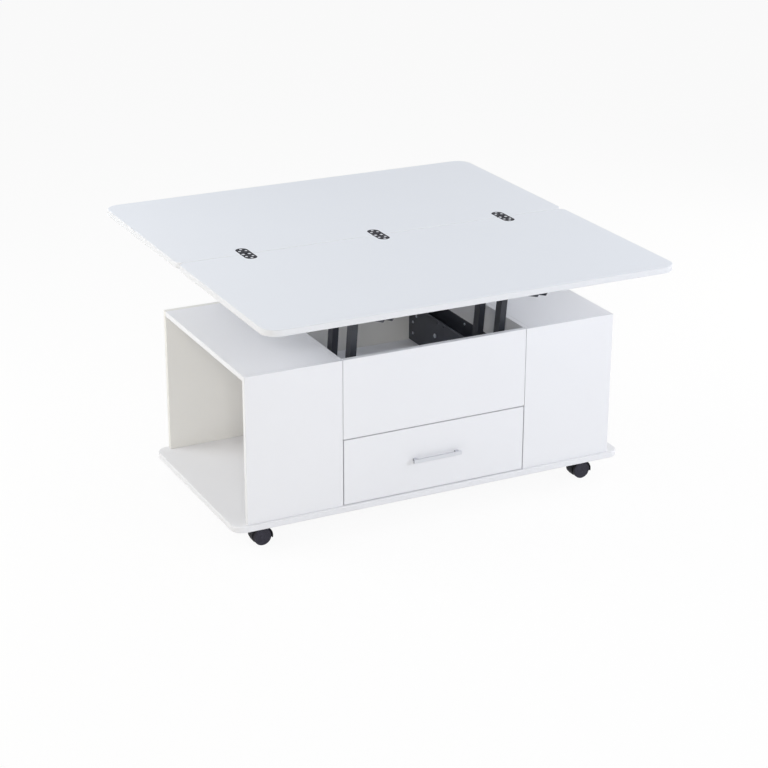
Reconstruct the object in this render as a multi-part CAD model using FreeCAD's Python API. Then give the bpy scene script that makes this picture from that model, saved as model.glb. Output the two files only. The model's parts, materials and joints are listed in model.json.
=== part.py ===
import FreeCAD, Part
import math
import os

# A lift-top table on casters, raised and unfolded. Lengths are in millimetres and angles in degrees.
# X runs along the table, Y to its back and Z up. The origin is on the floor under the middle of the seam.

# Table top
top_length = 1200.0
leaf_depth = 600.0
leaf_thickness = 18.0
leaf_edge_round = 3.0
outer_corner_radius = 45.0
seam_corner_radius = 22.0
seam_gap = 1.4

# Heights from the floor up
caster_height = 62.0
base_thickness = 18.0
body_height = 420.0
raised_gap = 192.0
lowered_gap = 1.0

# Cabinet
board = 15.0
board_ease = 0.6
body_length = 1120.0
body_depth = 585.0
base_end_reveal = 40.0
base_front_reveal = 7.5
base_corner_radius = 35.0
base_edge_round = 3.0
centre_width = 554.0
front_gap = 3.0
drawer_low_gap = 1.5
panel_gap = 1.5
front_overhang = 1.0
floor_height = 214.0

# Drawer
drawer_front_height = 188.5
drawer_board = 12.0
drawer_box_length = 450.0
drawer_box_height = 120.0
drawer_box_lift = 25.0
drawer_bottom_thickness = 5.0
drawer_bottom_lift = 10.0
rail_length = 450.0
rail_height = 35.0
rail_depth = 10.0
rail_sheet = 1.5
rail_space = 13.0
rail_setback = 5.0
rail_clearance = 0.3

# Drawer handle
handle_length = 148.0
handle_height = 11.0
handle_bar = 6.0
handle_projection = 18.0
handle_level = 94.5
handle_foot_width = 10.0
handle_foot_height = 7.0
handle_edge_round = 1.5
handle_screw_spacing = 128.0
handle_screw_reach = 8.0

# Lift arms
arm_length = 216.0
arm_depth = 28.0
arm_width = 18.0
arm_sheet = 2.5
raised_lean = 8.0
rear_arm_tail = 26.0
pivot_spacing = 117.0
pivot_rise = 26.0
front_pivot_setback = 72.0
rear_pivot_height = 86.0
pin_radius = 5.0
pin_head_radius = 8.0
pin_head_thickness = 2.5
pin_end_gap = 0.2
spacer_radius = 8.0
running_clearance = 0.05
side_clearance = 0.3

# Lift housings on the compartment floor
housing_width = 67.0
housing_sheet = 2.5
near_plate_height = 117.0
far_plate_height = 122.0
housing_ear_height = 130.0
housing_ear_reach = 18.0
housing_front_gap = 14.0
housing_corner_radius = 15.0
housing_bend_radius = 3.0
arm_offset = 17.0
stop_radius = 4.0
stop_reach = 24.0
stop_clearance = 0.3
tie_radius = 4.0
tie_head_radius = 6.5
tie_height = 65.0
tie_from_back = 168.0
spring_hole_radius = 3.0
spring_hole_height = 107.0
spring_hole_from_back = 179.0
spring_hole_spacing = 38.0

# Angles that tie the housings to the back panel
angle_leg = 62.0
angle_rise = 14.0
angle_height = 86.0
angle_bolt_length = 8.0
angle_bolt_low = 28.0
angle_bolt_spacing = 35.0
angle_bolt_from_back = 27.0
angle_top_bolt_height = 87.0
angle_top_bolt_from_back = 49.0

# Brackets under the front leaf
bracket_width = 28.0
bracket_sheet = 2.5
bracket_front_setback = 54.0
bracket_nose = 34.0
bracket_length = 416.0
bracket_flange = 41.0
bracket_ear = 15.0
bracket_corner_radius = 10.0
bracket_screw_spacing = 88.0

# Flush hinges across the seam
hinge_spacing = 400.0
hinge_half_length = 49.5
hinge_width = 35.0
hinge_thickness = 7.0
hinge_pin_depth = 3.5
hinge_pin_radius = 1.25
hinge_fold_gap = 0.6
hinge_fit = 0.2
link_width = 8.0
link_radius = 2.6
link_offset = 9.0
link_side_gap = 0.3
link_end_gap = 1.0
hinge_screw_end = 39.5
hinge_screw_side = 9.5
hinge_screw_near = 24.5

# Screws
screw_clearance = 0.1
small_screw_radius = 1.5
small_head_radius = 3.8
small_head_height = 2.4
small_screw_length = 12.0
wood_screw_radius = 2.0
wood_head_radius = 4.2
wood_head_height = 2.4
wood_screw_length = 13.0
carcass_screw_radius = 3.0
carcass_head_radius = 5.5
carcass_head_height = 4.0
carcass_screw_length = 50.0
carcass_screw_inset = 60.0
housing_screw_spacing = 160.0
housing_screw_height = 110.0
housing_screw_from_back = 228.0
angle_screw_spacing = 40.0

# Casters
caster_spacing_x = 1000.0
caster_spacing_y = 490.0
caster_trail = 7.0
wheel_radius = 25.0
wheel_width = 12.0
wheel_edge_round = 2.0
wheel_dish = 0.8
wheel_dish_radius = 18.0
wheel_hub_radius = 6.0
wheel_cap = 1.2
caster_body_width = 23.0
caster_side_gap = 1.0
hood_gap = 1.5
hood_thickness = 3.0
hood_edge_round = 1.2
hood_lip = 0.5
hood_low_angle = -12.0
hood_high_angle = 112.0
hood_ground_gap = 9.0
axle_radius = 3.0
axle_fit = 0.02
kingpin_radius = 4.0
kingpin_length = 16.0
raceway_radius = 14.0
raceway_height = 2.5
raceway_gap = 0.4
plate_side = 46.0
plate_thickness = 3.0
plate_corner_radius = 6.0
plate_hole_spacing = 34.0

# Levels
base_bottom = caster_height
base_top = base_bottom + base_thickness
body_top = base_top + body_height
leaf_bottom = body_top + raised_gap
leaf_top = leaf_bottom + leaf_thickness
floor_top = base_top + floor_height
drawer_front_bottom = base_top + drawer_low_gap
drawer_front_top = drawer_front_bottom + drawer_front_height

# The lift: how far the arms swing back and how far that carries the top
raised_angle = math.radians(raised_lean)
lowered_angle = math.acos(math.cos(raised_angle) - (raised_gap - lowered_gap) / arm_length)
reach = arm_length * (math.sin(raised_angle) + math.sin(lowered_angle))
swing = raised_lean + math.degrees(lowered_angle)

# The cabinet stands so that the lowered leaf covers its front edge
body_front = front_overhang + reach - leaf_depth
body_back = body_front + body_depth
body_centre_y = body_front + body_depth / 2
inside_front = body_front + board
inside_back = body_back - board
half_body = body_length / 2
half_centre = centre_width / 2
bay_start = half_centre + front_gap

# The right-hand lift in the YZ plane and along X
arm_rise = FreeCAD.Vector(0, -math.sin(raised_angle), math.cos(raised_angle))
arm_back = FreeCAD.Vector(0, math.cos(raised_angle), math.sin(raised_angle))
rear_low = FreeCAD.Vector(0, body_front + front_pivot_setback + pivot_spacing, floor_top + rear_pivot_height)
front_low = rear_low + FreeCAD.Vector(0, -pivot_spacing, pivot_rise)
rear_high = rear_low + arm_rise * arm_length
front_high = front_low + arm_rise * arm_length
housing_near = half_centre - housing_width
housing_front = inside_front + housing_front_gap
housing_top = floor_top + housing_ear_height
arm_x = housing_near + arm_offset
stop_point = rear_low - arm_rise * stop_reach + arm_back * (arm_depth / 2 + stop_radius + stop_clearance)
tie_point = FreeCAD.Vector(0, inside_back - tie_from_back, floor_top + tie_height)

# The hinges fold on two pins, far enough apart to leave a small gap between the folded leaves
link_span = 2 * hinge_pin_depth + hinge_fold_gap
hinge_pin_z = leaf_top - hinge_pin_depth

ALONG_X = FreeCAD.Vector(1, 0, 0)
ALONG_Y = FreeCAD.Vector(0, 1, 0)
UP = FreeCAD.Vector(0, 0, 1)


def block(x0, x1, y0, y1, z0, z1):
    """A box between two corners."""
    return Part.makeBox(x1 - x0, y1 - y0, z1 - z0, FreeCAD.Vector(x0, y0, z0))


def eased_board(x0, x1, y0, y1, z0, z1):
    """A board with its sharp edges taken off."""
    solid = block(x0, x1, y0, y1, z0, z1)
    return solid.makeChamfer(board_ease, solid.Edges)


def rod(radius, start, end):
    """A round bar from one point to another."""
    return Part.makeCylinder(radius, (end - start).Length, start, end - start)


def rod_x(radius, x0, x1, place):
    """A round bar along X through a point of the YZ plane."""
    return rod(radius, FreeCAD.Vector(x0, place.y, place.z), FreeCAD.Vector(x1, place.y, place.z))


def tube_x(radius, bore, x0, x1, place):
    """A spacer tube along X."""
    return rod_x(radius, x0, x1, place).cut(rod_x(bore, x0, x1, place))


def fused(shapes):
    """One solid from touching or overlapping shapes."""
    whole = shapes[0]
    for shape in shapes[1:]:
        whole = whole.fuse(shape)
    return whole.removeSplitter()


def cut_all(solid, tools):
    """A solid with several cutters taken out."""
    return solid.cut(Part.makeCompound(tools)) if tools else solid


def mirrored_x(shape):
    """The left-hand twin of a right-hand shape."""
    return shape.mirror(FreeCAD.Vector(0, 0, 0), ALONG_X)


def on_side(shape, side):
    """A right-hand shape on the side asked for: -1 is left and 1 is right."""
    return shape if side > 0 else mirrored_x(shape)


def prism_x(corners, x0, x1):
    """A flat plate across X with a straight-sided outline in the YZ plane."""
    loop = [FreeCAD.Vector(x0, corner.y, corner.z) for corner in corners]
    outline = Part.makePolygon(loop + loop[:1])
    return Part.Face(outline).extrude(FreeCAD.Vector(x1 - x0, 0, 0))


def link_plate(start, end, radius, x0, x1):
    """A flat link across X with round ends about two points of the YZ plane."""
    along = (end - start).normalize()
    beside = ALONG_X.cross(along)
    shift = FreeCAD.Vector(x0, 0, 0)
    corners = [start + beside * radius, end + beside * radius, end - beside * radius, start - beside * radius]
    corners = [FreeCAD.Vector(0, corner.y, corner.z) + shift for corner in corners]
    end_tip = FreeCAD.Vector(0, end.y, end.z) + along * radius + shift
    start_tip = FreeCAD.Vector(0, start.y, start.z) - along * radius + shift
    outline = Part.Wire([
        Part.LineSegment(corners[0], corners[1]).toShape(),
        Part.Arc(corners[1], end_tip, corners[2]).toShape(),
        Part.LineSegment(corners[2], corners[3]).toShape(),
        Part.Arc(corners[3], start_tip, corners[0]).toShape(),
    ])
    return Part.Face(outline).extrude(FreeCAD.Vector(x1 - x0, 0, 0))


def rounded_plate(x0, x1, y0, y1, z0, z1, low_radius, high_radius):
    """A plate with one radius at the corners on its low-Y side and another on its high-Y side."""
    corners = [
        (FreeCAD.Vector(x1 - low_radius, y0 + low_radius, z0), low_radius, 270),
        (FreeCAD.Vector(x1 - high_radius, y1 - high_radius, z0), high_radius, 0),
        (FreeCAD.Vector(x0 + high_radius, y1 - high_radius, z0), high_radius, 90),
        (FreeCAD.Vector(x0 + low_radius, y0 + low_radius, z0), low_radius, 180),
    ]
    arcs = [Part.makeCircle(radius, centre, UP, turn, turn + 90) for centre, radius, turn in corners]
    sides = []
    for arc, following in zip(arcs, arcs[1:] + arcs[:1]):
        sides.append(arc)
        sides.append(Part.makeLine(arc.lastVertex().Point, following.firstVertex().Point))
    return Part.Face(Part.Wire(sides)).extrude(FreeCAD.Vector(0, 0, z1 - z0))


def level_edges(solid, *levels):
    """The edges of a solid that lie flat at the heights asked for."""
    return [edge for edge in solid.Edges
            if any(abs(edge.BoundBox.ZMin - z) < 1e-6 and abs(edge.BoundBox.ZMax - z) < 1e-6 for z in levels)]


def edges_at(solid, **place):
    """The edges of a solid whose centre lies at the X, Y or Z asked for."""
    def fits(edge):
        middle = edge.BoundBox.Center
        return all(abs(getattr(middle, axis) - value) < 1e-3 for axis, value in place.items())
    return [edge for edge in solid.Edges if fits(edge)]


def pan_screw(seat, drive, radius, length, head_radius, head_height):
    """A screw whose round head stands on its seat."""
    drive = FreeCAD.Vector(drive).normalize()
    head = rod(head_radius, seat - drive * head_height, seat)
    return fused([head, rod(radius, seat, seat + drive * length)])


def sunk_screw(seat, drive, radius, length, head_radius, head_height, clearance=0.0):
    """A screw with a conical head flush with its seat, or with a clearance the hole for it."""
    drive = FreeCAD.Vector(drive).normalize()
    head = Part.makeCone(head_radius + clearance, radius + clearance, head_height, seat, drive)
    return fused([head, rod(radius + clearance, seat, seat + drive * (length + clearance))])


def screw_hole(seat, drive, radius, length):
    """The hole for a pan-head screw."""
    drive = FreeCAD.Vector(drive).normalize()
    return rod(radius + screw_clearance, seat, seat + drive * (length + screw_clearance))


# Places of the screws

hinge_places = [-hinge_spacing, 0.0, hinge_spacing]
carcass_seats = [
    FreeCAD.Vector(side * x, y, base_bottom)
    for side in (-1, 1)
    for y in (body_front + board / 2, body_back - board / 2)
    for x in (bay_start + carcass_screw_inset, half_body - carcass_screw_inset)
]
carcass_seats += [
    FreeCAD.Vector(side * (half_centre + board / 2), body_centre_y + end * body_depth / 4, base_bottom)
    for side in (-1, 1) for end in (-1, 1)
]
carcass_seats += [
    FreeCAD.Vector(side * half_centre / 2, body_back - board / 2, base_bottom) for side in (-1, 1)
]
housing_seats = [
    FreeCAD.Vector(half_centre - housing_sheet,
                   inside_back - housing_screw_from_back + step * housing_screw_spacing,
                   floor_top + housing_screw_height)
    for step in (-1, 0, 1)
]
angle_seats = [
    FreeCAD.Vector(housing_near + housing_sheet + angle_leg / 2, inside_back - housing_sheet,
                   floor_top + angle_rise + angle_height / 2 + step * angle_screw_spacing)
    for step in (-0.5, 0.5)
]
angle_bolt_seats = [
    FreeCAD.Vector(housing_near, inside_back - angle_bolt_from_back, floor_top + angle_bolt_low),
    FreeCAD.Vector(housing_near, inside_back - angle_bolt_from_back,
                   floor_top + angle_bolt_low + angle_bolt_spacing),
    FreeCAD.Vector(housing_near, inside_back - angle_top_bolt_from_back, floor_top + angle_top_bolt_height),
]
bracket_seats = [
    FreeCAD.Vector(arm_x, bracket_front_setback + bracket_length / 2 - leaf_depth + step * bracket_screw_spacing,
                   leaf_bottom - bracket_sheet)
    for step in (-1.5, -0.5, 0.5, 1.5)
]
caster_places = {
    "front_left": FreeCAD.Vector(-caster_spacing_x / 2, body_centre_y - caster_spacing_y / 2, 0),
    "front_right": FreeCAD.Vector(caster_spacing_x / 2, body_centre_y - caster_spacing_y / 2, 0),
    "rear_left": FreeCAD.Vector(-caster_spacing_x / 2, body_centre_y + caster_spacing_y / 2, 0),
    "rear_right": FreeCAD.Vector(caster_spacing_x / 2, body_centre_y + caster_spacing_y / 2, 0),
}
plate_holes = [
    FreeCAD.Vector(x * plate_hole_spacing / 2, y * plate_hole_spacing / 2, base_bottom - plate_thickness)
    for x in (-1, 1) for y in (-1, 1)
]
handle_seats = [
    FreeCAD.Vector(side * handle_screw_spacing / 2, inside_front, drawer_front_bottom + handle_level)
    for side in (-1, 1)
]


def carcass_holes():
    """The countersunk holes of the screws that hold the panels on the base plate."""
    return [
        sunk_screw(seat, UP, carcass_screw_radius, carcass_screw_length, carcass_head_radius,
                   carcass_head_height, screw_clearance)
        for seat in carcass_seats
    ]


def both_sides(seats):
    """Right-hand places and their left-hand twins, each with its side."""
    return [(FreeCAD.Vector(side * seat.x, seat.y, seat.z), side) for side in (-1, 1) for seat in seats]


def housing_screw_holes():
    """The holes of the screws through the outer housing plates into the partitions."""
    return [
        screw_hole(seat, ALONG_X * side, wood_screw_radius, wood_screw_length)
        for seat, side in both_sides(housing_seats)
    ]


def angle_screw_holes():
    """The holes of the screws through the housing angles into the back panel."""
    return [
        screw_hole(seat, ALONG_Y, wood_screw_radius, wood_screw_length) for seat, side in both_sides(angle_seats)
    ]


def angle_bolt_holes():
    """The holes of the bolts through the right-hand housing's near plate and its angle."""
    return [screw_hole(seat, ALONG_X, wood_screw_radius, angle_bolt_length) for seat in angle_bolt_seats]


def caster_screw_holes():
    """The holes of the caster plates' screws in the base plate."""
    return [
        screw_hole(place + hole, UP, wood_screw_radius, wood_screw_length)
        for place in caster_places.values() for hole in plate_holes
    ]


# Cabinet

def base_plate():
    """The plate that carries the cabinet, with rounded corners that stand out all round."""
    x = half_body + base_end_reveal
    y0 = body_front - base_front_reveal
    y1 = body_back + base_front_reveal
    plate = rounded_plate(-x, x, y0, y1, base_bottom, base_top, base_corner_radius, base_corner_radius)
    plate = plate.makeFillet(base_edge_round, level_edges(plate, base_bottom, base_top))
    return cut_all(plate, carcass_holes() + caster_screw_holes())


def cabinet_panels():
    """The upright panels, the bay tops and the compartment floor, by name."""
    holes = carcass_holes()
    panels = {}
    for side, name in ((-1, "left"), (1, "right")):
        front = eased_board(bay_start, half_body, body_front, inside_front, base_top, body_top)
        back = eased_board(bay_start, half_body, inside_back, body_back, base_top, body_top)
        top = eased_board(half_centre + board, half_body, inside_front, inside_back, body_top - board, body_top)
        partition = eased_board(half_centre, half_centre + board, inside_front, inside_back, base_top, body_top)
        panels[name + "_bay_front"] = cut_all(on_side(front, side), holes)
        panels[name + "_bay_back"] = cut_all(on_side(back, side), holes)
        panels[name + "_bay_top"] = on_side(top, side)
        panels[name + "_partition"] = cut_all(on_side(partition, side), holes + housing_screw_holes())
    half_panel = bay_start - panel_gap
    panels["centre_front_panel"] = eased_board(
        -half_panel, half_panel, body_front, inside_front, drawer_front_top + front_gap, body_top)
    centre_back = eased_board(-half_centre, half_centre, inside_back, body_back, base_top, body_top)
    panels["centre_back_panel"] = cut_all(centre_back, holes + angle_screw_holes())
    panels["compartment_floor"] = eased_board(
        -half_centre, half_centre, inside_front, inside_back, floor_top - board, floor_top)
    return panels


def cabinet_screws():
    """All screws that stay with the cabinet, each a separate solid."""
    screws = [
        sunk_screw(seat, UP, carcass_screw_radius, carcass_screw_length, carcass_head_radius, carcass_head_height)
        for seat in carcass_seats
    ]
    for seat, side in both_sides(housing_seats):
        screws.append(wood_screw(seat, ALONG_X * side))
    for seat, side in both_sides(angle_seats):
        screws.append(wood_screw(seat, ALONG_Y))
    for seat, side in both_sides(angle_bolt_seats):
        screws.append(pan_screw(seat, ALONG_X * side, wood_screw_radius, angle_bolt_length, wood_head_radius,
                                wood_head_height))
    for place in caster_places.values():
        screws += [wood_screw(place + hole, UP) for hole in plate_holes]
    return Part.makeCompound(screws)


def wood_screw(seat, drive):
    """A pan-head wood screw."""
    return pan_screw(seat, drive, wood_screw_radius, wood_screw_length, wood_head_radius, wood_head_height)


# Drawer

def drawer_pieces():
    """The drawer's front, sides, back, bottom, handle, screws and slides, by name."""
    box_half = half_centre - rail_space
    side_inner = box_half - drawer_board
    box_front = inside_front
    box_back = box_front + drawer_box_length
    low = base_top + drawer_box_lift
    high = low + drawer_box_height
    bottom_low = low + drawer_bottom_lift
    bottom_high = bottom_low + drawer_bottom_thickness
    holes = [screw_hole(seat, -ALONG_Y, wood_screw_radius, board) for seat in handle_seats]
    front = eased_board(-half_centre, half_centre, body_front, inside_front, drawer_front_bottom, drawer_front_top)
    back = eased_board(-side_inner, side_inner, box_back - drawer_board, box_back, bottom_high, high)
    bottom = block(-side_inner, side_inner, box_front, box_back, bottom_low, bottom_high)
    wall = eased_board(side_inner, box_half, box_front, box_back, low, high)
    pieces = {
        "drawer_front": cut_all(front, holes),
        "drawer_back": back,
        "drawer_bottom": bottom,
        "drawer_handle": drawer_handle(),
        "handle_screws": Part.makeCompound([
            pan_screw(seat, -ALONG_Y, wood_screw_radius, board + handle_screw_reach, wood_head_radius,
                      wood_head_height)
            for seat in handle_seats
        ]),
    }
    for side, name in ((-1, "left"), (1, "right")):
        pieces[name + "_drawer_side"] = on_side(wall, side)
        pieces[name + "_drawer_slide"] = on_side(drawer_slide(), side)
    return pieces


def drawer_handle():
    """A bar handle: a straight bar with rounded edges on two square feet."""
    half = handle_length / 2
    outer = body_front - handle_projection
    inner = outer + handle_bar
    middle = drawer_front_bottom + handle_level
    bar = block(-half, half, outer, inner, middle - handle_height / 2, middle + handle_height / 2)
    pieces = [bar.makeFillet(handle_edge_round, bar.Edges)]
    for seat in handle_seats:
        pieces.append(block(seat.x - handle_foot_width / 2, seat.x + handle_foot_width / 2, inner, body_front,
                            middle - handle_foot_height / 2, middle + handle_foot_height / 2))
    holes = [
        screw_hole(seat, -ALONG_Y, wood_screw_radius, board + handle_screw_reach) for seat in handle_seats
    ]
    return cut_all(fused(pieces), holes)


def rail_level():
    """The height of the rails' middle, half way up the drawer box."""
    return base_top + drawer_box_lift + drawer_box_height / 2


def rail_ends():
    """Where the right-hand rail starts and ends along Y."""
    start = inside_front + rail_setback
    return start, start + rail_length


def drawer_rail():
    """The right-hand rail: a channel on the partition, open towards the drawer."""
    y0, y1 = rail_ends()
    low = rail_level() - rail_height / 2
    high = rail_level() + rail_height / 2
    outer = block(half_centre - rail_depth, half_centre, y0, y1, low, high)
    hollow = block(half_centre - rail_depth, half_centre - rail_sheet, y0, y1, low + rail_sheet, high - rail_sheet)
    return outer.cut(hollow)


def drawer_slide():
    """The right-hand slide: a smaller channel on the drawer that runs inside the rail."""
    y0, y1 = rail_ends()
    half = rail_height / 2 - rail_sheet - rail_clearance
    low = rail_level() - half
    high = rail_level() + half
    start = half_centre - rail_space
    outer = block(start, start + rail_depth, y0, y1, low, high)
    hollow = block(start + rail_sheet, start + rail_depth, y0, y1, low + rail_sheet, high - rail_sheet)
    return outer.cut(hollow)


# Lift

def lift_housing():
    """The right-hand housing: a folded channel on the compartment floor whose plates rise to the front pivot."""
    outer = block(housing_near, half_centre, housing_front, inside_back, floor_top, housing_top)
    folds = edges_at(outer, x=housing_near, z=floor_top) + edges_at(outer, x=half_centre, z=floor_top)
    outer = outer.makeFillet(housing_bend_radius, folds)
    hollow = block(housing_near + housing_sheet, half_centre - housing_sheet, housing_front, inside_back,
                   floor_top + housing_sheet, housing_top)
    shell = outer.cut(hollow)
    noses = edges_at(shell, y=housing_front, z=housing_top)
    shell = shell.makeFillet(housing_corner_radius, noses)
    cutters = [
        above_plate(near_plate_height, housing_near, housing_near + housing_sheet),
        above_plate(far_plate_height, half_centre - housing_sheet, half_centre),
    ]
    cutters += [rod_x(radius + running_clearance, housing_near, half_centre, place) for radius, place in cross_pins()]
    cutters += [screw_hole(seat, ALONG_X, wood_screw_radius, wood_screw_length) for seat in housing_seats]
    cutters += angle_bolt_holes() + spring_holes()
    return cut_all(shell, cutters)


def above_plate(height, x0, x1):
    """What is cut away above a housing plate behind its ear, with a slope down from the ear."""
    ear_back = front_low.y + housing_ear_reach
    low = floor_top + height
    corners = [
        FreeCAD.Vector(0, ear_back, housing_top), FreeCAD.Vector(0, ear_back + housing_top - low, low),
        FreeCAD.Vector(0, inside_back, low), FreeCAD.Vector(0, inside_back, housing_top),
    ]
    return prism_x(corners, x0, x1)


def spring_holes():
    """Two holes in the near plate to hook a lift spring in."""
    places = [
        FreeCAD.Vector(0, inside_back - spring_hole_from_back - step * spring_hole_spacing,
                       floor_top + spring_hole_height)
        for step in (0, 1)
    ]
    return [rod_x(spring_hole_radius, housing_near, housing_near + housing_sheet, place) for place in places]


def housing_angle():
    """The right-hand angle inside the housing, bolted to its near plate and screwed to the back panel."""
    x0 = housing_near + housing_sheet
    low = floor_top + angle_rise
    high = low + angle_height
    side_leg = block(x0, x0 + housing_sheet, inside_back - angle_leg, inside_back, low, high)
    back_leg = block(x0, x0 + angle_leg - housing_sheet, inside_back - housing_sheet, inside_back, low, high)
    holes = [screw_hole(seat, ALONG_Y, wood_screw_radius, wood_screw_length) for seat in angle_seats]
    return cut_all(fused([side_leg, back_leg]), holes + angle_bolt_holes())


def cross_pins():
    """Radius and place of each pin across the right-hand housing."""
    return [(pin_radius, rear_low), (pin_radius, front_low), (stop_radius, stop_point), (tie_radius, tie_point)]


def headed_pin(radius, head_radius, x0, x1, place):
    """A pin along X whose head lies outside the plate at its low-X end."""
    head = rod_x(head_radius, x0 - pin_head_thickness, x0, place)
    return fused([head, rod_x(radius, x0, x1, place)])


def housing_pins():
    """The pivot pins with their spacer tubes, the stop pins and the tie bolts of both housings."""
    end = half_centre - pin_end_gap
    arm_low = arm_x - arm_width / 2
    arm_high = arm_x + arm_width / 2
    bore = pin_radius + running_clearance
    right = [
        headed_pin(stop_radius, tie_head_radius, housing_near, end, stop_point),
        headed_pin(tie_radius, tie_head_radius, housing_near, end, tie_point),
    ]
    for place in (rear_low, front_low):
        right.append(headed_pin(pin_radius, pin_head_radius, housing_near, end, place))
        right.append(tube_x(spacer_radius, bore, housing_near + housing_sheet + side_clearance,
                            arm_low - side_clearance, place))
        right.append(tube_x(spacer_radius, bore, arm_high + side_clearance,
                            half_centre - housing_sheet - side_clearance, place))
    return Part.makeCompound(right + [mirrored_x(shape) for shape in right])


def lift_arm(low, high, tail):
    """A right-hand arm: a channel with its web in front and round ends about its two pivots."""
    radius = arm_depth / 2
    foot = low - arm_rise * tail
    x0 = arm_x - arm_width / 2
    x1 = arm_x + arm_width / 2
    web_low = low + arm_rise * radius
    web_high = high - arm_rise * radius
    web_front = -arm_back * radius
    web_back = -arm_back * (radius - arm_sheet)
    web = prism_x([web_low + web_front, web_high + web_front, web_high + web_back, web_low + web_back], x0, x1)
    cheeks = [
        link_plate(foot, high, radius, x0, x0 + arm_sheet),
        link_plate(foot, high, radius, x1 - arm_sheet, x1),
    ]
    bores = [rod_x(pin_radius + running_clearance, x0, x1, place) for place in (low, high)]
    return cut_all(fused(cheeks + [web]), bores)


def top_bracket():
    """The right-hand bracket: a channel under the leaf whose flanges drop to the arms' upper pivots."""
    front = bracket_front_setback - leaf_depth
    back = front + bracket_length
    x0 = arm_x - bracket_width / 2
    x1 = arm_x + bracket_width / 2
    flange_low = leaf_bottom - bracket_flange
    corners = [
        FreeCAD.Vector(0, front, leaf_bottom),
        FreeCAD.Vector(0, front + bracket_nose, flange_low),
        FreeCAD.Vector(0, front_high.y - bracket_ear, front_high.z - bracket_ear),
        FreeCAD.Vector(0, rear_high.y + bracket_ear, rear_high.z - bracket_ear),
        FreeCAD.Vector(0, back, flange_low),
        FreeCAD.Vector(0, back, leaf_bottom),
    ]
    flanges = []
    for start in (x0, x1 - bracket_sheet):
        flange = prism_x(corners, start, start + bracket_sheet)
        ends = [edge for edge in flange.Edges
                if edge.BoundBox.XLength > bracket_sheet / 2 and edge.BoundBox.ZMax < flange_low - 1]
        flanges.append(flange.makeFillet(bracket_corner_radius, ends))
    web = block(x0, x1, front, back, leaf_bottom - bracket_sheet, leaf_bottom)
    holes = [rod_x(pin_radius + running_clearance, x0, x1, place) for place in (rear_high, front_high)]
    holes += [screw_hole(seat, UP, wood_screw_radius, wood_screw_length) for seat in bracket_seats]
    return cut_all(fused(flanges + [web]), holes)


def bracket_pins():
    """The upper pivot pins of both brackets with their spacer tubes."""
    x0 = arm_x - bracket_width / 2
    x1 = arm_x + bracket_width / 2
    arm_low = arm_x - arm_width / 2
    arm_high = arm_x + arm_width / 2
    bore = pin_radius + running_clearance
    right = []
    for place in (rear_high, front_high):
        right.append(rod_x(pin_radius, x0, x1, place))
        right.append(tube_x(spacer_radius, bore, x0 + bracket_sheet + side_clearance, arm_low - side_clearance, place))
        right.append(tube_x(spacer_radius, bore, arm_high + side_clearance, x1 - bracket_sheet - side_clearance, place))
    return Part.makeCompound(right + [mirrored_x(shape) for shape in right])


def bracket_screws():
    """The screws through the brackets' webs into the front leaf."""
    return Part.makeCompound([wood_screw(seat, UP) for seat, side in both_sides(bracket_seats)])


# Top and its hinges. The front half is made first, and the back half is its twin across the seam.

def across_seam(shape):
    """The back half's twin of a front half's shape."""
    return shape.mirror(FreeCAD.Vector(0, 0, 0), ALONG_Y)


def hinge_outline(middle, fit, seam_y, low, high):
    """A half pill from the seam to its round end, with a fit all round."""
    radius = hinge_width / 2 + fit
    centre_y = hinge_width / 2 - hinge_half_length
    tip = FreeCAD.Vector(middle, centre_y - radius, low)
    left = FreeCAD.Vector(middle - radius, centre_y, low)
    right = FreeCAD.Vector(middle + radius, centre_y, low)
    seam_left = FreeCAD.Vector(middle - radius, seam_y, low)
    seam_right = FreeCAD.Vector(middle + radius, seam_y, low)
    outline = Part.Wire([
        Part.LineSegment(seam_left, left).toShape(),
        Part.Arc(left, tip, right).toShape(),
        Part.LineSegment(right, seam_right).toShape(),
        Part.LineSegment(seam_right, seam_left).toShape(),
    ])
    return Part.Face(outline).extrude(FreeCAD.Vector(0, 0, high - low))


def hinge_screw_seats(middle):
    """The three screws of a front half-plate: one at its round end and two beside the links."""
    return [
        FreeCAD.Vector(middle, -hinge_screw_end, leaf_top),
        FreeCAD.Vector(middle - hinge_screw_side, -hinge_screw_near, leaf_top),
        FreeCAD.Vector(middle + hinge_screw_side, -hinge_screw_near, leaf_top),
    ]


def hinge_screw(seat, clearance=0.0):
    """A countersunk hinge screw, or with a clearance the hole for it."""
    return sunk_screw(seat, -UP, small_screw_radius, small_screw_length, small_head_radius, small_head_height,
                      clearance)


def front_leaf_blank():
    """The front leaf with its hinge recesses and hinge screw holes."""
    seam = -seam_gap / 2
    half = top_length / 2
    leaf = rounded_plate(-half, half, -leaf_depth, seam, leaf_bottom, leaf_top, outer_corner_radius,
                         seam_corner_radius)
    leaf = leaf.makeFillet(leaf_edge_round, level_edges(leaf, leaf_bottom, leaf_top))
    cutters = []
    for middle in hinge_places:
        cutters.append(hinge_outline(middle, hinge_fit, 0.0, leaf_top - hinge_thickness, leaf_top))
        cutters += [hinge_screw(seat, screw_clearance) for seat in hinge_screw_seats(middle)]
    return cut_all(leaf, cutters)


def front_leaf():
    """The front leaf, drilled for the brackets."""
    holes = [screw_hole(seat, UP, wood_screw_radius, wood_screw_length) for seat, side in both_sides(bracket_seats)]
    return cut_all(front_leaf_blank(), holes)


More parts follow.
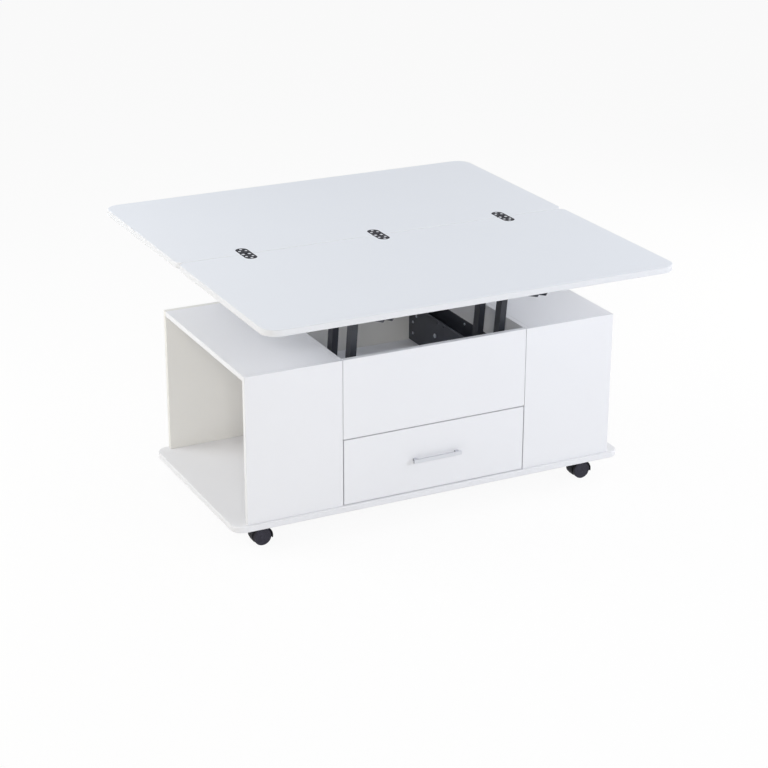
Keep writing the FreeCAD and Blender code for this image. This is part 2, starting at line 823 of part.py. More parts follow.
def hinge_half_plate(middle):
    """A front half-plate, flush with the leaf, with two slots for the links."""
    seam = -seam_gap / 2
    low = leaf_top - hinge_thickness
    plate = hinge_outline(middle, 0.0, seam, low, leaf_top)
    plate = plate.makeFillet(leaf_edge_round, edges_at(plate, y=seam, z=leaf_top))
    slot_end = -(link_span / 2 + link_radius + link_end_gap)
    half_slot = link_width / 2 + link_side_gap
    cutters = [
        block(middle + side * link_offset - half_slot, middle + side * link_offset + half_slot, slot_end, 0.0,
              low, leaf_top)
        for side in (-1, 1)
    ]
    cutters.append(rod_x(hinge_pin_radius + running_clearance, middle - hinge_width / 2, middle + hinge_width / 2,
                         hinge_pin_place()))
    cutters += [hinge_screw(seat, screw_clearance) for seat in hinge_screw_seats(middle)]
    return cut_all(plate, cutters)


def hinge_pin_place():
    """Where the front pin crosses the YZ plane."""
    return FreeCAD.Vector(0, -link_span / 2, hinge_pin_z)


def hinge_links():
    """Two links for each hinge, from the front pin to the back pin."""
    front = hinge_pin_place()
    back = FreeCAD.Vector(0, -front.y, front.z)
    bore = hinge_pin_radius + running_clearance
    links = []
    for middle in hinge_places:
        for side in (-1, 1):
            x0 = middle + side * link_offset - link_width / 2
            x1 = x0 + link_width
            bores = [rod_x(bore, x0, x1, place) for place in (front, back)]
            links.append(cut_all(link_plate(front, back, link_radius, x0, x1), bores))
    return Part.makeCompound(links)


def hinge_group(maker):
    """The same front-half piece at each hinge."""
    return Part.makeCompound([maker(middle) for middle in hinge_places])


def hinge_pin(middle):
    """The pin of a front half-plate."""
    half = hinge_width / 2 - hinge_fit
    return rod_x(hinge_pin_radius, middle - half, middle + half, hinge_pin_place())


def hinge_plate_screws(middle):
    """The screws of one front half-plate."""
    return Part.makeCompound([hinge_screw(seat) for seat in hinge_screw_seats(middle)])


# Casters, all trailing the same way

def caster_plate(place):
    """A mounting plate with the raceway and the kingpin that the caster swivels on."""
    half = plate_side / 2
    low = base_bottom - plate_thickness
    plate = rounded_plate(-half, half, -half, half, low, base_bottom, plate_corner_radius, plate_corner_radius)
    race_low = low - raceway_height
    raceway = Part.makeCone(kingpin_radius * 2, raceway_radius, raceway_height, FreeCAD.Vector(0, 0, race_low), UP)
    kingpin = rod(kingpin_radius, FreeCAD.Vector(0, 0, race_low - kingpin_length), FreeCAD.Vector(0, 0, low))
    holes = [screw_hole(hole, UP, wood_screw_radius, plate_thickness) for hole in plate_holes]
    return cut_all(fused([plate, raceway, kingpin]), holes).translated(place)


def wheel_axis():
    """The middle of the axle, beside the swivel axis."""
    return FreeCAD.Vector(-caster_trail, 0, wheel_radius)


def sector_y(inner, outer, half_width, low_angle, high_angle):
    """A part of a ring about the axle, between two angles from +X."""
    centre = wheel_axis() - ALONG_Y * half_width
    turn = FreeCAD.Rotation(ALONG_X, -90)
    ring = Part.makeCylinder(outer, 2 * half_width, FreeCAD.Vector(), UP, high_angle - low_angle)
    ring = ring.cut(Part.makeCylinder(inner, 2 * half_width, FreeCAD.Vector(), UP))
    ring.rotate(FreeCAD.Vector(), UP, -high_angle)
    return ring.transformed(FreeCAD.Placement(centre, turn).toMatrix())


def caster_hood(place):
    """The body between the wheels, the hood over them and the socket for the kingpin."""
    axis = wheel_axis()
    inner = wheel_radius + hood_gap
    outer = inner + hood_thickness
    half_body_width = caster_body_width / 2
    half_hood = half_body_width + caster_side_gap + wheel_width + hood_lip
    core = rod(inner, axis - ALONG_Y * half_body_width, axis + ALONG_Y * half_body_width)
    core = core.cut(block(axis.x - outer, axis.x + outer, -half_hood, half_hood, axis.z - outer, hood_ground_gap))
    socket_top = base_bottom - plate_thickness - raceway_height - raceway_gap
    socket = rod(half_body_width, FreeCAD.Vector(0, 0, axis.z), FreeCAD.Vector(0, 0, socket_top))
    hood = sector_y(inner, outer, half_hood, hood_low_angle, hood_high_angle)
    rims = [edge for edge in hood.Edges
            if isinstance(edge.Curve, Part.Circle) and abs(edge.Curve.Radius - outer) < 1e-6]
    hood = hood.makeFillet(hood_edge_round, rims)
    bore_low = base_bottom - plate_thickness - raceway_height - kingpin_length - raceway_gap
    bore = rod(kingpin_radius + running_clearance, FreeCAD.Vector(0, 0, bore_low), FreeCAD.Vector(0, 0, socket_top))
    axle_hole = rod(axle_radius + axle_fit, axis - ALONG_Y * half_hood, axis + ALONG_Y * half_hood)
    return cut_all(fused([core, hood, socket]), [bore, axle_hole]).translated(place)


def axle_half_length():
    """How far the axle reaches into each wheel."""
    return caster_body_width / 2 + caster_side_gap + wheel_width - 2 * wheel_cap


def caster_axle(place):
    """The steel axle through the caster's body."""
    axis = wheel_axis()
    half = axle_half_length()
    return rod(axle_radius, axis - ALONG_Y * half, axis + ALONG_Y * half).translated(place)


def caster_wheels(place):
    """The two wheels of a caster, each with a blind bore for the axle and a dished outer face."""
    inner = caster_body_width / 2 + caster_side_gap
    outer = inner + wheel_width
    bore = axle_radius + running_clearance
    bore_end = axle_half_length() + wheel_cap / 4
    section = [
        (bore, inner), (wheel_radius - wheel_edge_round, inner), (wheel_radius, inner + wheel_edge_round),
        (wheel_radius, outer - wheel_edge_round), (wheel_radius - wheel_edge_round, outer),
        (wheel_dish_radius, outer), (wheel_dish_radius - wheel_dish, outer - wheel_dish),
        (wheel_hub_radius + wheel_dish, outer - wheel_dish), (wheel_hub_radius, outer), (0, outer),
        (0, bore_end), (bore, bore_end),
    ]
    loop = [FreeCAD.Vector(radius, along, 0) for radius, along in section]
    wheel = Part.Face(Part.makePolygon(loop + loop[:1])).revolve(FreeCAD.Vector(), ALONG_Y, 360)
    wheel = wheel.translated(wheel_axis())
    return Part.makeCompound([wheel, across_seam(wheel)]).translated(place)


# The whole table, one file for each node

def table_pieces():
    """Every piece of the table, by node name."""
    pieces = {"base_plate": base_plate(), "cabinet_screws": cabinet_screws()}
    pieces.update(cabinet_panels())
    pieces.update(drawer_pieces())
    for side, name in ((-1, "left"), (1, "right")):
        pieces[name + "_drawer_rail"] = on_side(drawer_rail(), side)
        pieces[name + "_lift_housing"] = on_side(lift_housing(), side)
        pieces[name + "_housing_angle"] = on_side(housing_angle(), side)
        pieces[name + "_rear_arm"] = on_side(lift_arm(rear_low, rear_high, rear_arm_tail), side)
        pieces[name + "_front_arm"] = on_side(lift_arm(front_low, front_high, 0.0), side)
        pieces[name + "_top_bracket"] = on_side(top_bracket(), side)
    pieces["housing_pins"] = housing_pins()
    pieces["bracket_pins"] = bracket_pins()
    pieces["bracket_screws"] = bracket_screws()
    pieces["front_leaf"] = front_leaf()
    pieces["back_leaf"] = across_seam(front_leaf_blank())
    pieces["front_hinge_plates"] = hinge_group(hinge_half_plate)
    pieces["front_hinge_pins"] = hinge_group(hinge_pin)
    pieces["front_hinge_screws"] = hinge_group(hinge_plate_screws)
    pieces["hinge_links"] = hinge_links()
    for kind in ("plates", "pins", "screws"):
        pieces["back_hinge_" + kind] = across_seam(pieces["front_hinge_" + kind])
    pieces["caster_plates"] = Part.makeCompound([caster_plate(place) for place in caster_places.values()])
    for name, place in caster_places.items():
        pieces[name + "_caster_hood"] = caster_hood(place)
        pieces[name + "_caster_axle"] = caster_axle(place)
        pieces[name + "_caster_wheels"] = caster_wheels(place)
    return pieces


os.makedirs("parts", exist_ok=True)
for node, shape in table_pieces().items():
    shape.exportStep("parts/" + node + ".step")
print("arms swing", round(swing, 3), "degrees and carry the top", round(reach, 2), "mm")
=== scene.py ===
# %% [markdown]
# # A white lift-top table in a studio
#
# The table is already modelled as solids: boards, arms, hinges, casters. This lesson gives them
# their finishes, makes the small pieces that show best as meshes, and sets up the light and the
# camera.

# %% Load the solids
import json
import math

import bmesh
import bpy
from mathutils import Matrix, Vector


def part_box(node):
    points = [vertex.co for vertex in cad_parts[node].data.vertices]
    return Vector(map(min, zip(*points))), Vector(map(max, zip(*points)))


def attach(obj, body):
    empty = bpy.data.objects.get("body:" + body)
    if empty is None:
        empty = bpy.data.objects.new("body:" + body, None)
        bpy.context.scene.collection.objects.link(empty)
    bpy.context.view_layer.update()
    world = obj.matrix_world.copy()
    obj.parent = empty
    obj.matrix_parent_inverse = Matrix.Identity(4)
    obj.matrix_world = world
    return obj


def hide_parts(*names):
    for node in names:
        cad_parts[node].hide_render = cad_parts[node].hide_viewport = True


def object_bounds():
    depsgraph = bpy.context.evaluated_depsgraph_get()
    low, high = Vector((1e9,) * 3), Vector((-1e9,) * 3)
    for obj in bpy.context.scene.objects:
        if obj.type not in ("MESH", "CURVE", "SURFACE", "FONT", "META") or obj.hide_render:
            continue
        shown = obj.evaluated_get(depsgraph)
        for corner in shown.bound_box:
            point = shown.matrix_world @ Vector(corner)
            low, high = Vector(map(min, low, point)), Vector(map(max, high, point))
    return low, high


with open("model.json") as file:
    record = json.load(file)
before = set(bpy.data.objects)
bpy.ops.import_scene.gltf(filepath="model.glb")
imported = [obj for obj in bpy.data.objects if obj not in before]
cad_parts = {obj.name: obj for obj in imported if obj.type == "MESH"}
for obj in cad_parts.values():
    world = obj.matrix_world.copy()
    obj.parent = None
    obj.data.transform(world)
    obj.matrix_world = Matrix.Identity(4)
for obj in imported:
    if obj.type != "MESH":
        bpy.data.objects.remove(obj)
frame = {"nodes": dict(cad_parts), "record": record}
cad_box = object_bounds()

scene = bpy.context.scene
record = frame["record"]
slot_of = {part["node"]: part["material_slot"] for part in record["subparts"]}
bodies = record["behaviour"]["bodies"]
body_of = {node: body for body, group in bodies.items() for node in group}
cad_size = [round(size, 3) for size in cad_box[1] - cad_box[0]]
print("solids:", len(frame["nodes"]), "box:", cad_size)

# %% [markdown]
# ## The camera
#
# The picture is taken from the front left, a little above the table, with a long lens that keeps
# the uprights nearly parallel. A camera can be aimed with a constraint, but here its three axes
# are worked out from two angles and a small roll, so the same numbers always give the same view.

# %% Camera
picture_pixels = 768
focal_pixels = 1993.85
sensor_mm = 36.0
farthest = 100
azimuth = math.radians(-26.56)
elevation = math.radians(21.47)
roll = math.radians(0.17)
camera_place = Vector((-2.3729, -4.7847, 2.3612))

level_share = math.cos(elevation)
backward = Vector((
    math.sin(azimuth) * level_share, -math.cos(azimuth) * level_share, math.sin(elevation)))
rightward = Vector((math.cos(azimuth), math.sin(azimuth), 0))
upward = backward.cross(rightward)
upright = Matrix((rightward, upward, backward)).transposed()
aim = upright @ Matrix.Rotation(roll, 3, "Z")

lens = bpy.data.cameras.new("camera")
lens.sensor_fit = "HORIZONTAL"
lens.sensor_width = sensor_mm
lens.lens = focal_pixels / picture_pixels * sensor_mm
lens.clip_end = farthest
camera = bpy.data.objects.new("camera", lens)
camera.matrix_world = Matrix.Translation(camera_place) @ aim.to_4x4()
scene.collection.objects.link(camera)
scene.camera = camera
scene.view_settings.view_transform = "Standard"
print("lens:", round(lens.lens, 1), "mm")

# %% [markdown]
# ## Writing shaders as sums
#
# A finish mixes patterns with plain arithmetic. Wiring each sum by hand takes many lines, so a
# small class wraps a socket and lets Python's own operators add the Math nodes. Colours keep to
# Mix nodes, because a Math node would turn them grey. A second class holds one finish and adds
# every other kind of node.

# %% A socket that can be added and multiplied
class Value:
    """A number that varies over a surface. Sums and products of it become Math nodes."""

    def __init__(self, finish, socket):
        self.finish = finish
        self.socket = socket

    def math(self, operation, first, second=0.0):
        return self.finish.node("ShaderNodeMath", {"operation": operation}, {0: first, 1: second})

    def __add__(self, other):
        return self.math("ADD", self, other)

    def __radd__(self, other):
        return self.math("ADD", other, self)

    def __sub__(self, other):
        return self.math("SUBTRACT", self, other)

    def __rsub__(self, other):
        return self.math("SUBTRACT", other, self)

    def __mul__(self, other):
        return self.math("MULTIPLY", self, other)

    def __rmul__(self, other):
        return self.math("MULTIPLY", other, self)

    def __gt__(self, other):
        return self.math("GREATER_THAN", self, other)

    def __lt__(self, other):
        return self.math("LESS_THAN", self, other)

    def __abs__(self):
        return self.math("ABSOLUTE", self)


print("operators that add Math nodes: + - * > < abs")

# %% One finish and its nodes
as_it_is = (1, 1, 1)


class Finish:
    """One material and the nodes in it."""

    def __init__(self, name):
        self.material = bpy.data.materials.new(name)
        self.material.use_nodes = True
        self.tree = self.material.node_tree
        self.shader = self.tree.nodes["Principled BSDF"]

    def feed(self, socket, value):
        """Links a value that varies to a socket, or sets a constant on it."""
        if isinstance(value, Value):
            self.tree.links.new(value.socket, socket)
        else:
            socket.default_value = value

    def node(self, kind, settings=None, sockets=None, output=0):
        """Adds a node: its settings first, then the values or links of its sockets."""
        node = self.tree.nodes.new(kind)
        for name, value in (settings or {}).items():
            setattr(node, name, value)
        for key, value in (sockets or {}).items():
            self.feed(node.inputs[key], value)
        return Value(self, node.outputs[output])

    def place(self, stretch=as_it_is):
        """A point in the piece's own frame, stretched where a pattern runs along one way."""
        point = self.node("ShaderNodeTexCoord", output="Object")
        return self.node("ShaderNodeMapping", None, {"Vector": point, "Scale": stretch})

    def noise(self, scale, detail, stretch=as_it_is):
        """A cloudy pattern from 0 to 1, with about so many clouds in a metre."""
        return self.node("ShaderNodeTexNoise", None, {
            "Vector": self.place(stretch), "Scale": scale, "Detail": detail})

    def mix(self, share, first, second):
        """Two colours in a share that varies."""
        # the Mix node lists its sockets for numbers and vectors before those for colours
        share_in, first_in, second_in, colour_out = 0, 6, 7, 2
        sockets = {share_in: share, first_in: first, second_in: second}
        return self.node("ShaderNodeMix", {"data_type": "RGBA"}, sockets, output=colour_out)

    def facing(self, axis):
        """How squarely the surface faces one of the piece's own axes, from 0 to 1."""
        normal = self.node("ShaderNodeTexCoord", output="Normal")
        return abs(self.node("ShaderNodeSeparateXYZ", None, {0: normal}, output=axis))

    def relief(self, height, depth, strength):
        """A bump of a real depth in metres."""
        return self.node("ShaderNodeBump", None, {
            "Height": height, "Distance": depth, "Strength": strength})

    def set(self, **sockets):
        """Feeds the shader's sockets, named with underscores for spaces."""
        for name, value in sockets.items():
            self.feed(self.shader.inputs[name.replace("_", " ")], value)
        return self.material


def rgb(red, green, blue, level=1.0):
    """A colour with its alpha, at a level."""
    return (red * level, green * level, blue * level, 1.0)


def paint(node, material):
    """Gives a solid its finish."""
    layers = frame["nodes"][node].data.materials
    layers.clear()
    layers.append(material)


print("solids waiting for a finish:", len(slot_of))

# %% [markdown]
# ## White melamine board
#
# The cabinet and the top are particle board with a smooth white melamine face. Close up the face
# has a pearl emboss, a skin of tiny soft bumps that breaks up reflections, and each narrow edge
# has a glued plastic strip that is a little darker and smoother, with a hairline of glue where it
# meets the face. One plain white would look like plaster. The top is a cool white. The boards at
# the back get a plainer white with warm light painted into it, standing in for the warm light
# inside the open bay. The pattern could be a picture, but noise in the board's own metres has no
# seams and keeps its real size. Which way a board is thin comes from its own box.

# %% Whites of the boards and of their edge strips
strip_level = 0.98
whites = {
    "top_laminate": (0.795, 0.828, 0.900),
    "cabinet_laminate": (0.814, 0.821, 0.851),
    # The back boards' warmer white is painted warm light, standing in for the warm light inside
    # the open bay.
    "back_laminate": (0.796, 0.789, 0.762),
    "drawer_board": (0.800, 0.800, 0.795),
}
strips = {kind: [part * strip_level for part in white] for kind, white in whites.items()}
strips["top_laminate"] = (0.757, 0.770, 0.802)
print("kinds of board:", sorted(whites))

# %% Melamine finish
cloud_scale, mottle_scale, pearl_scale = 4.5, 60, 650
cloud_dark, cloud_light = 0.985, 1.012
mottle_share, mottle_level = 0.6, 0.992
strip_dark = 0.98
face_from, glue_from = 0.9, 0.55
glue_share, glue_level = 0.25, 0.9
strip_rough, face_rough, cloud_rough, pearl_rough = 0.36, 0.12, 0.06, 0.05
pearl_depth, pearl_strength = 0.00012, 0.6


def melamine(name, white, strip_white, thin):
    """The finish of a board that is thin along one axis: its faces, edge strips and glue lines."""
    finish = Finish(name)
    clouds = finish.noise(cloud_scale, detail=2.0)
    mottle = finish.noise(mottle_scale, detail=3.0)
    pearl = finish.noise(pearl_scale, detail=1.0)
    facing = finish.facing(thin)
    face = facing > face_from
    glue = (facing > glue_from) - face
    board = finish.mix(clouds, rgb(*white, cloud_dark), rgb(*white, cloud_light))
    board = finish.mix(mottle_share * mottle, board, rgb(*white, mottle_level))
    strip = finish.mix(mottle, rgb(*strip_white), rgb(*strip_white, strip_dark))
    colour = finish.mix(face, strip, board)
    colour = finish.mix(glue_share * glue, colour, rgb(*white, glue_level))
    rough = strip_rough + face_rough * face + cloud_rough * clouds + pearl_rough * pearl
    return finish.set(
        Base_Color=colour, Roughness=rough,
        Normal=finish.relief(pearl * face, pearl_depth, pearl_strength))


print("pearl bumps:", pearl_depth * 1000, "mm deep, about", pearl_scale, "in a metre")

# %% Paint the boards
axis_names = "XYZ"
back_boards = ("left_bay_back", "centre_back_panel", "right_bay_back")
boards = {}
for node, slot in slot_of.items():
    if slot in whites:
        # The back boards take the white with painted warm light.
        kind = "back_laminate" if node in back_boards else slot
        low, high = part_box(node)
        sides = [high[axis] - low[axis] for axis in range(3)]
        thin = axis_names[sides.index(min(sides))]
        if (kind, thin) not in boards:
            boards[kind, thin] = melamine(kind + "_" + thin, whites[kind], strips[kind], thin)
        paint(node, boards[kind, thin])
print("melamine finishes:", len(boards))

# %% [markdown]
# ## Black coats and black plastic
#
# The lift's housings, arms and brackets are folded steel with a black powder coat, darkest on the
# arms. The powder melts into a skin with fine ripples, like the peel of an orange, which spreads
# the reflections of the white room. A plain black would look like a hole in the picture, so the
# ripples and a slightly uneven gloss matter more than the colour. The hinges' black plate and the
# casters' plastic differ from it only in the size of their clouds, their gloss and their bumps, so
# one helper makes them. The wheels need one thing more, a darker tread.

# %% Coats with clouds and fine bumps
def clouded(name, scale, detail, dark, light, level=1.0):
    """A new finish, a cloudy pattern on it and a colour that follows the pattern."""
    finish = Finish(name)
    cloud = finish.noise(scale, detail)
    return finish, cloud, finish.mix(cloud, rgb(*dark, level), rgb(*light, level))


def ripple(finish, scale, depth, strength):
    """Fine bumps in the skin of a coat."""
    return finish.relief(finish.noise(scale, detail=2.0), depth, strength)


def coat(name, clouds, rough, spread, bumps, **constants):
    """A coat whose gloss is as uneven as its colour."""
    finish, cloud, colour = clouded(name, **clouds)
    return finish.set(
        Base_Color=colour, Roughness=rough + spread * cloud,
        Normal=ripple(finish, **bumps), **constants)


def powder_coat(name, level):
    finish, cloud, colour = clouded(
        name, scale=14, detail=3.0,
        dark=(0.038, 0.042, 0.055), light=(0.054, 0.058, 0.074), level=level)
    grain = finish.noise(scale=700, detail=2.0)
    rough, cloud_spread, grain_spread = 0.40, 0.10, 0.08
    return finish.set(
        Base_Color=colour, Roughness=rough + cloud_spread * cloud + grain_spread * grain,
        Normal=ripple(finish, scale=900, depth=0.00008, strength=0.5))


def wheel_grey():
    finish, cloud, colour = clouded(
        "wheel_grey", scale=80, detail=3.0,
        dark=(0.028, 0.027, 0.038), light=(0.040, 0.039, 0.052))
    tread_below = 0.5
    tread_black = rgb(0.012, 0.012, 0.014)
    rough, cloud_spread, tread_rough = 0.44, 0.10, 0.12
    tread = finish.facing("Y") < tread_below
    return finish.set(
        Base_Color=finish.mix(tread, colour, tread_black),
        Roughness=rough + cloud_spread * cloud + tread_rough * tread, Specular_IOR_Level=0.2,
        Normal=ripple(finish, scale=1800, depth=0.00005, strength=0.4))


print("helpers for coats:", [helper.__name__ for helper in (coat, powder_coat, wheel_grey)])

# %% Black finishes
arm_level = 0.65
finishes = {
    "black_steel": powder_coat("powder_coat", level=1.0),
    "arm_steel": powder_coat("arm_coat", level=arm_level),
    "hinge_black": coat(
        "hinge_black",
        clouds=dict(scale=90, detail=3.0, dark=(0.010, 0.011, 0.016), light=(0.022, 0.023, 0.033)),
        rough=0.46, spread=0.16, Specular_IOR_Level=0.12,
        bumps=dict(scale=1400, depth=0.00004, strength=0.4)),
    "caster_plastic": coat(
        "caster_black",
        clouds=dict(scale=60, detail=2.0, dark=(0.008, 0.008, 0.011), light=(0.013, 0.013, 0.017)),
        rough=0.46, spread=0.12, Specular_IOR_Level=0.12,
        bumps=dict(scale=2200, depth=0.00003, strength=0.35)),
    "wheel_plastic": wheel_grey(),
}
print("black finishes:", sorted(finishes))

# %% [markdown]
# ## Bright metal
#
# Screws, pins and hinge links are zinc plated, the drawer rails are galvanised sheet and the
# handle is satin aluminium. All are the same bare metal to the shader; what tells them apart is
# the roughness and its pattern: fine tumbling marks, large zinc flowers, or brush lines along the
# bar. The handle's end faces also get a darker grey painted on as shade.

# %% Metal finishes
def galvanised_sheet():
    finish = Finish("galvanised_sheet")
    flower = finish.node(
        "ShaderNodeTexVoronoi", {"feature": "F1"},
        {"Vector": finish.place(), "Scale": 160.0}, output="Color")
    shade = finish.node("ShaderNodeSeparateColor", None, {0: flower})
    dark, light = rgb(0.50, 0.51, 0.52), rgb(0.64, 0.65, 0.66)
    rough, spread = 0.30, 0.16
    return finish.set(
        Base_Color=finish.mix(shade, dark, light), Metallic=1.0, Roughness=rough + spread * shade,
        Normal=ripple(finish, scale=500, depth=0.00003, strength=0.3))


def satin_aluminium():
    finish = Finish("satin_aluminium")
    along_bar = (0.02, 1, 1)
    ends_from = 0.7
    # The darker grey for the bar's end faces is painted shade, for the shade those faces sit in.
    dark, light, end_painted_shade = rgb(0.66, 0.675, 0.72), rgb(0.74, 0.75, 0.79), rgb(0.30, 0.31, 0.33)
    rough, line_spread, end_rough = 0.30, 0.16, 0.2
    lines = finish.noise(scale=1800, detail=3.0, stretch=along_bar)
    # painted shade: faces that look along the bar get the darker grey
    ends = finish.facing("X") > ends_from
    return finish.set(
        Base_Color=finish.mix(ends, finish.mix(lines, dark, light), end_painted_shade), Metallic=1.0,
        Roughness=rough + line_spread * lines + end_rough * ends,
        Normal=finish.relief(lines, depth=0.00003, strength=0.3))


finishes["bright_steel"] = coat(
    "zinc_plate",
    clouds=dict(scale=260, detail=3.0, dark=(0.72, 0.745, 0.80), light=(0.83, 0.845, 0.88)),
    rough=0.32, spread=0.18, Metallic=1.0,
    bumps=dict(scale=2600, depth=0.00002, strength=0.4))
finishes["rail_steel"] = galvanised_sheet()
finishes["handle_metal"] = satin_aluminium()
for node, slot in slot_of.items():
    if slot in finishes:
        paint(node, finishes["arm_steel" if node.endswith("_arm") else slot])
print("other finishes:", sorted(finishes))

# %% [markdown]
# ## Screws with a cross recess
#
# The solids have screws with plain round heads. Real ones have a cross recess for the driver, a
# slightly domed head and a pointed tip, and the recess is what makes a bright dot read as a screw.
# Cutting a cross out of each head with a boolean would work but is slow and leaves ragged faces,
# so each screw is built ring by ring from its tip to its head, and the last ring is filled up to
# the outline of a cross. Where each screw sits, which way it points and how large it is are read
# from its plain solid.

# %% Read the plain screws
touch = 1e-5
weld = 1e-6


class Screw:
    """A screw's place, direction and sizes, from the corner points of its plain solid."""

    def __init__(self, points):
        low = Vector([min(point[axis] for point in points) for axis in range(3)])
        high = Vector([max(point[axis] for point in points) for axis in range(3)])
        middle = (low + high) / 2
        sides = high - low
        self.axis = max(range(3), key=lambda axis: sides[axis])
        self.length = sides[self.axis]
        rings = [(point[self.axis], self.radius(point - middle)) for point in points]
        first, last = low[self.axis], high[self.axis]
        wide_low = max(radius for place, radius in rings if place < first + touch)
        wide_high = max(radius for place, radius in rings if place > last - touch)
        self.out = 1 if wide_high > wide_low else -1
        self.head = max(wide_low, wide_high)
        self.shank = min(wide_low, wide_high)
        self.top = middle.copy()
        self.top[self.axis] = last if self.out > 0 else first
        depths = [(abs(place - self.top[self.axis]), radius) for place, radius in rings]
        self.rim = max(depth for depth, radius in depths if radius > self.head - touch)
        self.neck = min(depth for depth, radius in depths if abs(radius - self.shank) < touch)

    def radius(self, offset):
        """How far a point lies from the screw's middle line."""
        across = offset.copy()
        across[self.axis] = 0.0
        return across.length

    def place(self, x, y, height):
        """A point of the screw: across it twice, and out along it from the top of its head."""
        point = self.top.copy()
        point[(self.axis + 1) % 3] += x
        point[(self.axis + 2) % 3] += y * self.out
        point[self.axis] += height * self.out
        return point


def loose_solids(mesh):
    """The corner points of each separate solid in a mesh."""
    work = bmesh.new()
    work.from_mesh(mesh)
    bmesh.ops.remove_doubles(work, verts=work.verts, dist=weld)
    unseen = set(work.verts)
    solids = []
    for start in work.verts:
        if start in unseen:
            unseen.remove(start)
            reached = [start]
            for vertex in reached:
                near = [edge.other_vert(vertex) for edge in vertex.link_edges]
                fresh = [other for other in near if other in unseen]
                unseen.difference_update(fresh)
                reached += fresh
            solids.append([vertex.co.copy() for vertex in reached])
    work.free()
    return solids


screws = {}
for node in slot_of:
    if node.endswith("_screws"):
        screws[node] = [Screw(points) for points in loose_solids(frame["nodes"][node].data)]
print("screws:", {node: len(group) for node, group in screws.items()})

# %% Shapes of the screws
# Widths are shares of a radius: the shank's at the tip, the head's at the head and in the recess.
turns = 24
tip_width, tip_length = 0.2, 3
flat_head = ((1.0, 0.0001), (0.97, 0.0), (0.7, 0.0))
domed_head = ((0.97, 1.0), (1.0, 0.92), (1.0, 0.6), (0.95, 0.36), (0.84, 0.17), (0.7, 0.06))
cross_reach, cross_width, cross_depth = 0.58, 0.16, 0.50
bottom_reach, bottom_width = 0.6, 0.7
angles = [math.tau * turn / turns for turn in range(turns)]
circle = [(math.cos(angle), math.sin(angle)) for angle in angles]


def screw_rings(screw):
    """Radius and height of each ring, from the tip up to the ring round the recess."""
    shaft = [
        (screw.shank * tip_width, -screw.length),
        (screw.shank, tip_length * screw.shank - screw.length),
        (screw.shank, -screw.neck),
    ]
    if screw.rim < touch:
        head = [(screw.head * wide, -deep) for wide, deep in flat_head]
    else:
        head = [(screw.head * wide, -screw.rim * deep) for wide, deep in domed_head]
    return shaft + head


def cross_outline(reach, width):
    """The twelve corners of a cross, in order."""
    corners = [(reach, -width), (reach, width), (width, width)]
    for quarter in range(3):
        corners += [(-y, x) for x, y in corners[-3:]]
    return corners


print("rings of a domed head:", len(domed_head), "with", turns, "points each")

# %% Build the screws
smooth_below = math.radians(40)


def loop(work, screw, outline, height):
    return [work.verts.new(screw.place(x, y, height)) for x, y in outline]


def skin(work, lower, upper):
    """Faces between two loops with as many points, and the edges of the upper one."""
    count = len(lower)
    for index in range(count):
        following = (index + 1) % count
        work.faces.new((lower[index], lower[following], upper[following], upper[index]))
    return [work.edges.get((upper[index], upper[(index + 1) % count])) for index in range(count)]


def add_screw(work, screw):
    """A skin over the screw's rings, then a head that is filled up to the recess."""
    loops = []
    for radius, height in screw_rings(screw):
        loops.append(loop(work, screw, [(radius * x, radius * y) for x, y in circle], height))
    work.faces.new(loops[0][::-1])
    for lower, upper in zip(loops, loops[1:]):
        head_edges = skin(work, lower, upper)
    reach, width = screw.head * cross_reach, screw.head * cross_width
    narrow = cross_outline(reach * bottom_reach, width * bottom_width)
    bottom = loop(work, screw, narrow, -screw.head * cross_depth)
    brim = loop(work, screw, cross_outline(reach, width), height)
    work.faces.new(bottom)
    recess_edges = skin(work, bottom, brim)
    bmesh.ops.triangle_fill(work, use_beauty=True, edges=head_edges + recess_edges)


for node, group in screws.items():
    work = bmesh.new()
    for screw in group:
        add_screw(work, screw)
    bmesh.ops.recalc_face_normals(work, faces=work.faces)
    mesh = bpy.data.meshes.new(node + "_with_recess")
    work.to_mesh(mesh)
    work.free()
    mesh.shade_smooth()
    mesh.set_sharp_from_angle(angle=smooth_below)
    mesh.materials.append(finishes["bright_steel"])
    piece = bpy.data.objects.new(node + "_with_recess", mesh)
    scene.collection.objects.link(piece)
    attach(piece, body_of[node])
    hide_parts(node)
    print(node, "faces:", len(mesh.polygons))

# %% [markdown]
# ## The floor and the backdrop
#
# The table stands in a white studio with no visible corner. One large floor is enough: the camera
# sees it mixed with plain white, so it runs into the white world behind it and still keeps a soft
# shadow. Every other ray meets an ordinary pale floor, so the light that it throws back up under
# the table stays true.

# %% Floor
floor_size = 60.0
floor_pale = rgb(0.90, 0.90, 0.905)
floor_rough = 0.9
shown_white = 0.92


def white_rays(finish):
    """1 for rays that should see the white studio: those of the camera, of gloss and of glass."""
    camera_ray, glossy_ray, through_ray = (
        finish.node("ShaderNodeLightPath", output=name)
        for name in ("Is Camera Ray", "Is Glossy Ray", "Is Transmission Ray"))
    return 1.0 - (1.0 - camera_ray) * (1.0 - glossy_ray) * (1.0 - through_ray)


def studio_floor():
    finish = Finish("studio_floor")
    finish.set(Base_Color=floor_pale, Roughness=floor_rough)
    pale = Value(finish, finish.shader.outputs["BSDF"])
    white = finish.node("ShaderNodeEmission")
    share = shown_white * white_rays(finish)
    both = finish.node("ShaderNodeMixShader", None, {0: share, 1: pale, 2: white})
    finish.feed(finish.tree.nodes["Material Output"].inputs["Surface"], both)
    return finish.material


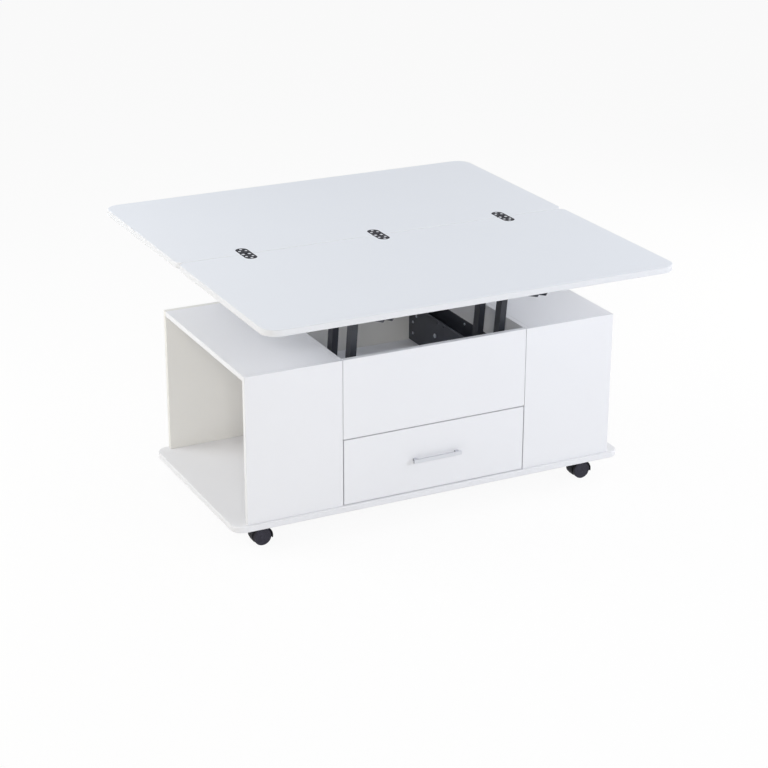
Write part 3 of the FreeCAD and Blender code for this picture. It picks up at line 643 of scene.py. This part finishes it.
half = floor_size / 2
corners = [(-half, -half, 0), (half, -half, 0), (half, half, 0), (-half, half, 0)]
floor_mesh = bpy.data.meshes.new("floor")
floor_mesh.from_pydata(corners, [], [(0, 1, 2, 3)])
floor_mesh.materials.append(studio_floor())
floor = bpy.data.objects.new("floor", floor_mesh)
scene.collection.objects.link(floor)
print("floor:", floor_size, "m")

# %% World
room_light = 0.33


class Room(Finish):
    """The world's nodes, with the same helpers as a finish."""

    def __init__(self, world):
        self.tree = world.node_tree


world = bpy.data.worlds.new("studio")
world.use_nodes = True
scene.world = world
room = Room(world)
glow = room.tree.nodes["Background"]
room.feed(glow.inputs["Color"], rgb(1.0, 1.0, 1.0))
room.feed(glow.inputs["Strength"], room_light + (1.0 - room_light) * white_rays(room))
print("room light:", room_light)

# %% [markdown]
# ## Soft light
#
# Large soft panels all round give the even light of a catalogue picture. The one above is a little
# cool, which shows on the top. The one by the camera reaches under the leaf and into the
# compartment, and the one at the front right makes the right of the cabinet the brightest. A dim
# warm panel at the left end reaches into the open bay; the one behind it and the two on the right
# brighten the tops of the bays. One big lamp would be simpler, but it would leave the places under
# the leaf dark. The panels are hidden from reflections, so gloss shows only the white room.

# %% Light panels
def panel(name, place, target, size, power, tint):
    """A soft rectangular lamp: places and sizes in metres, power in watts."""
    light = bpy.data.lights.new(name, "AREA")
    light.shape = "RECTANGLE"
    light.size, light.size_y = size
    light.energy = power
    light.color = tint
    lamp = bpy.data.objects.new(name, light)
    turn = (Vector(target) - Vector(place)).to_track_quat("-Z", "Y")
    lamp.matrix_world = Matrix.Translation(place) @ turn.to_matrix().to_4x4()
    lamp.visible_glossy = False
    scene.collection.objects.link(lamp)


table_middle, bay_tops = (0, 0, 0.4), (0, -0.1, 0.5)
panels = (
    ("above", (0.2, -0.3, 3.2), table_middle, (4.0, 4.0), 18, (0.94, 0.98, 1.0)),
    ("by_camera", (-2.6, -5.3, 2.65), table_middle, (1.2, 1.2), 102, (1.0, 0.98, 0.94)),
    ("front_right", (2.1, -2.9, 1.6), (0.3, -0.3, 0.40), (1.6, 1.0), 35, (0.86, 0.91, 1.0)),
    ("left", (-2.7, 0.1, 1.8), (-0.4, 0, 0.5), (3.0, 1.6), 16, (1.0, 0.83, 0.58)),
    ("left_behind", (-2.512, 1.35, 1.852), bay_tops, (1.8, 1.0), 36, (0.92, 0.97, 1.0)),
    ("right", (2.8, 0.4, 1.5), (0.4, 0, 0.5), (3.0, 1.6), 28, (1.0, 0.97, 0.90)),
    ("right_low", (3.139, -0.375, 1.056), bay_tops, (1.8, 0.6), 13, (1.0, 0.96, 0.92)),
)
for name, place, target, size, power, tint in panels:
    panel("panel_" + name, place, target, size, power, tint)
